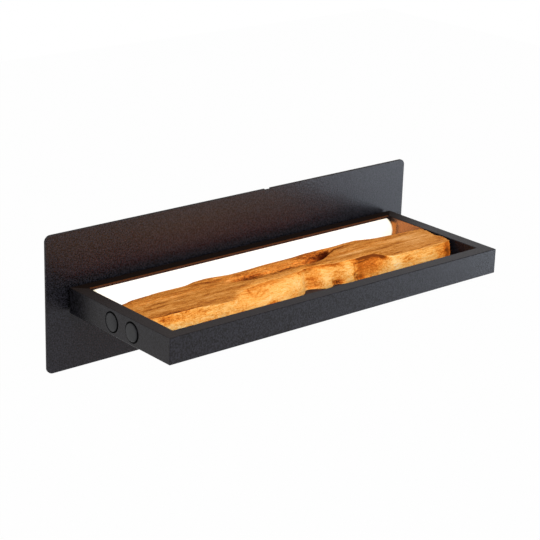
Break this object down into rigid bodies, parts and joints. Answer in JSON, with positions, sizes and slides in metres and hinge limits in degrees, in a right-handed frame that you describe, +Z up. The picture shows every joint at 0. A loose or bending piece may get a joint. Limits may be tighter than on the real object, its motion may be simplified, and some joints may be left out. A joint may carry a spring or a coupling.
{
  "type": "wall lamp with shelf",
  "caption": "Wall lamp: a plate carries a projecting tube frame with an opal light tube along the wall side and a natural-edged wooden shelf board, and push buttons at its end.",
  "frame": {"origin": "on the wall plane, at the middle of the mounting bracket's back face", "axes": "+X along the wall to the right as seen from the room, +Y into the wall, +Z up"},
  "size_m": [0.4, 0.162, 0.12],
  "materials": {
    "powder_coat": "fine-textured matt charcoal powder coat",
    "zinc_steel": "zinc-plated",
    "opal_plastic": "opal diffuser, evenly lit, warm white",
    "teak": "oiled natural-edged wood with long grain streaks",
    "aluminium": "extruded, bare",
    "board_white": "white solder mask",
    "led_phosphor": "glossy phosphor",
    "black_plastic": "fine satin grain",
    "grey_plastic": "moulded, matt",
    "circuit_green": "solder mask",
    "component_dark": "moulded",
    "brass": "bare",
    "spring_steel": "drawn wire",
    "lead_insulation": "smooth insulation"
  },
  "bodies": {
    "lamp": {"wall_plate": "powder_coat", "rear_housing": "powder_coat", "mounting_bracket": "zinc_steel", "bracket_tabs": "zinc_steel", "lock_screws": "zinc_steel", "front_rail": "powder_coat", "rear_rail": "powder_coat", "left_rail": "powder_coat", "right_rail": "powder_coat", "frame_screws": "zinc_steel", "rivet_nuts": "zinc_steel", "frame_spacers": "zinc_steel", "cable_bush": "black_plastic", "light_diffuser": "opal_plastic", "diffuser_cap_left": "opal_plastic", "diffuser_cap_right": "opal_plastic", "led_carrier": "aluminium", "carrier_screws": "zinc_steel", "led_board": "board_white", "led_chips": "led_phosphor", "wood_board": "teak", "support_bar": "powder_coat", "board_screws": "zinc_steel", "switch_cup_rear": "black_plastic", "switch_cup_front": "black_plastic", "switch_body_rear": "component_dark", "switch_body_front": "component_dark", "return_spring_rear": "spring_steel", "return_spring_front": "spring_steel", "driver_case": "grey_plastic", "driver_lid": "grey_plastic", "driver_board": "circuit_green", "driver_components": "component_dark", "driver_studs": "zinc_steel", "driver_nuts": "zinc_steel", "terminal_block": "grey_plastic", "terminal_screws": "brass", "earth_stud": "brass", "earth_nut": "brass", "led_lead": "lead_insulation", "switch_lead": "lead_insulation", "mains_leads": "lead_insulation"},
    "rear_button": {"button_cap_rear": "black_plastic", "switch_plunger_rear": "black_plastic"},
    "front_button": {"button_cap_front": "black_plastic", "switch_plunger_front": "black_plastic"}
  },
  "joints": [
    {"name": "rear_button_press", "type": "slide", "parent": "lamp", "child": "rear_button", "axis": [1, 0, 0], "range_m": [0, 0.001], "stiffness_N_per_m": 800, "springref_m": -0.001, "deforming": ["return_spring_rear"]},
    {"name": "front_button_press", "type": "slide", "parent": "lamp", "child": "front_button", "axis": [1, 0, 0], "range_m": [0, 0.001], "stiffness_N_per_m": 800, "springref_m": -0.001, "deforming": ["return_spring_front"]}
  ]
}
